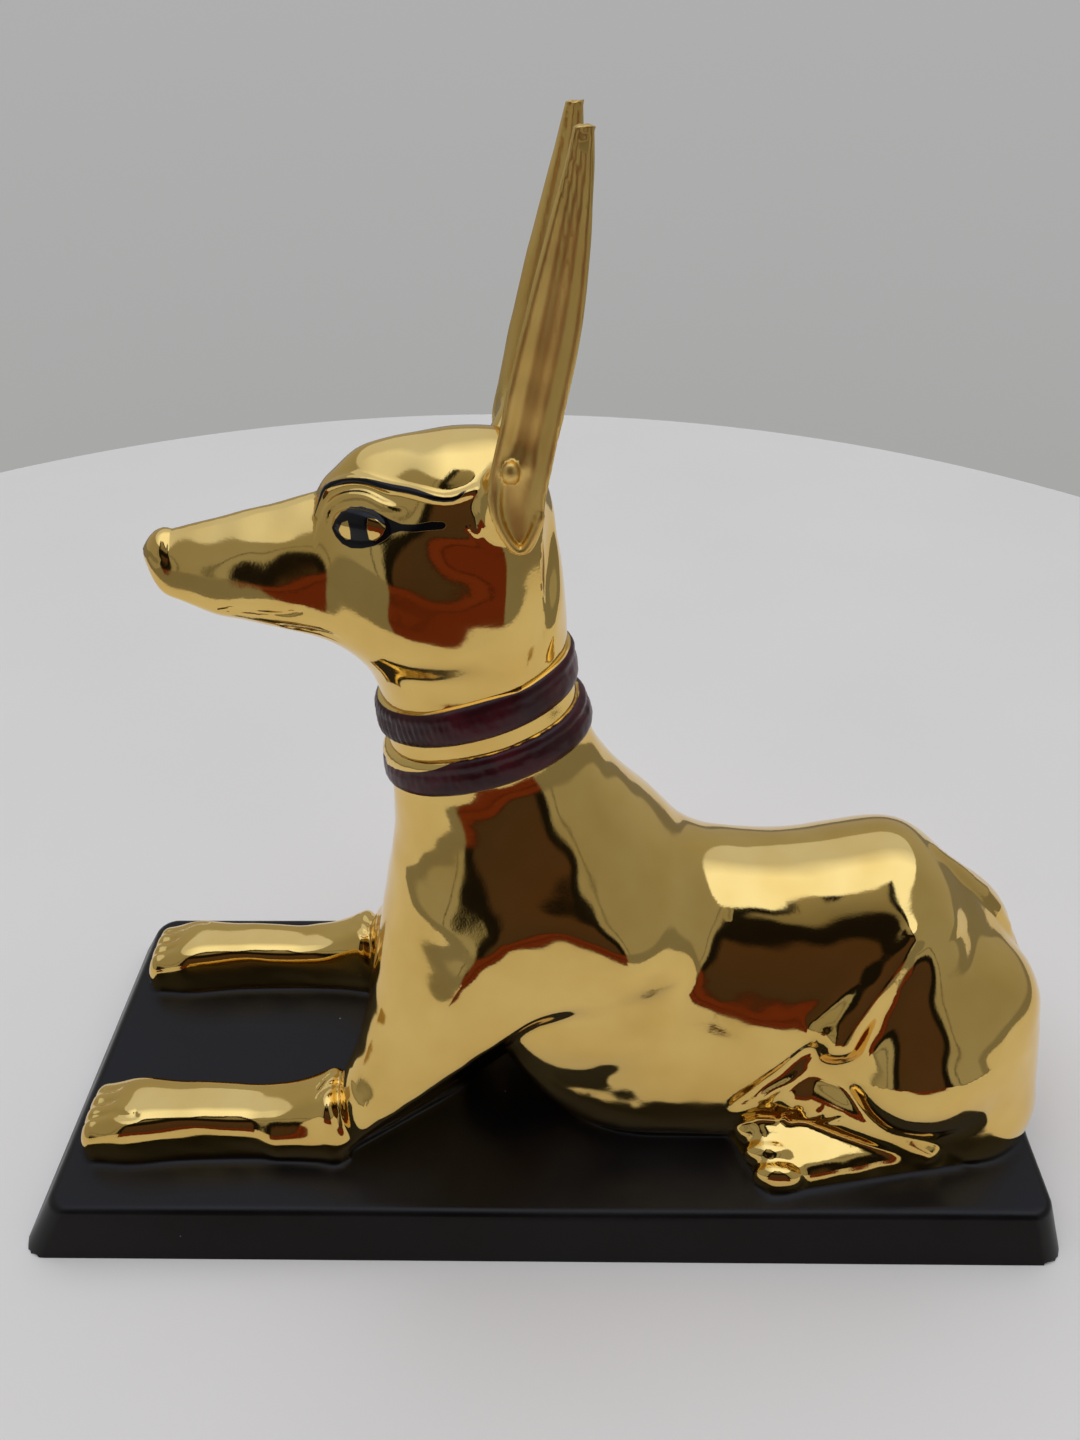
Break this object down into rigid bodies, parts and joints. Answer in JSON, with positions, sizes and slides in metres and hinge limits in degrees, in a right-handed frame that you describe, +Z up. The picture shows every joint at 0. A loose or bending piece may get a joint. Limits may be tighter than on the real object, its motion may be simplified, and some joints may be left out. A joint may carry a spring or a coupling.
{
  "type": "anubis jackal figure",
  "caption": "Gold plated figure of a lying jackal with tall ears and a two-band collar, on a low black plinth with sloping sides. A shelf ornament.",
  "frame": {"origin": "middle of the plinth's underside", "axes": "+X points from the jackal's nose to its rump, +Y to its right side, +Z up"},
  "size_m": [0.1618, 0.0696, 0.1542],
  "materials": {
    "gold": "mirror gold plating, painted black eyes and brows, burgundy collar bands",
    "plinth": "satin black lacquer"
  },
  "bodies": {
    "root": {"jackal": "gold", "plinth": "plinth"}
  },
  "joints": []
}
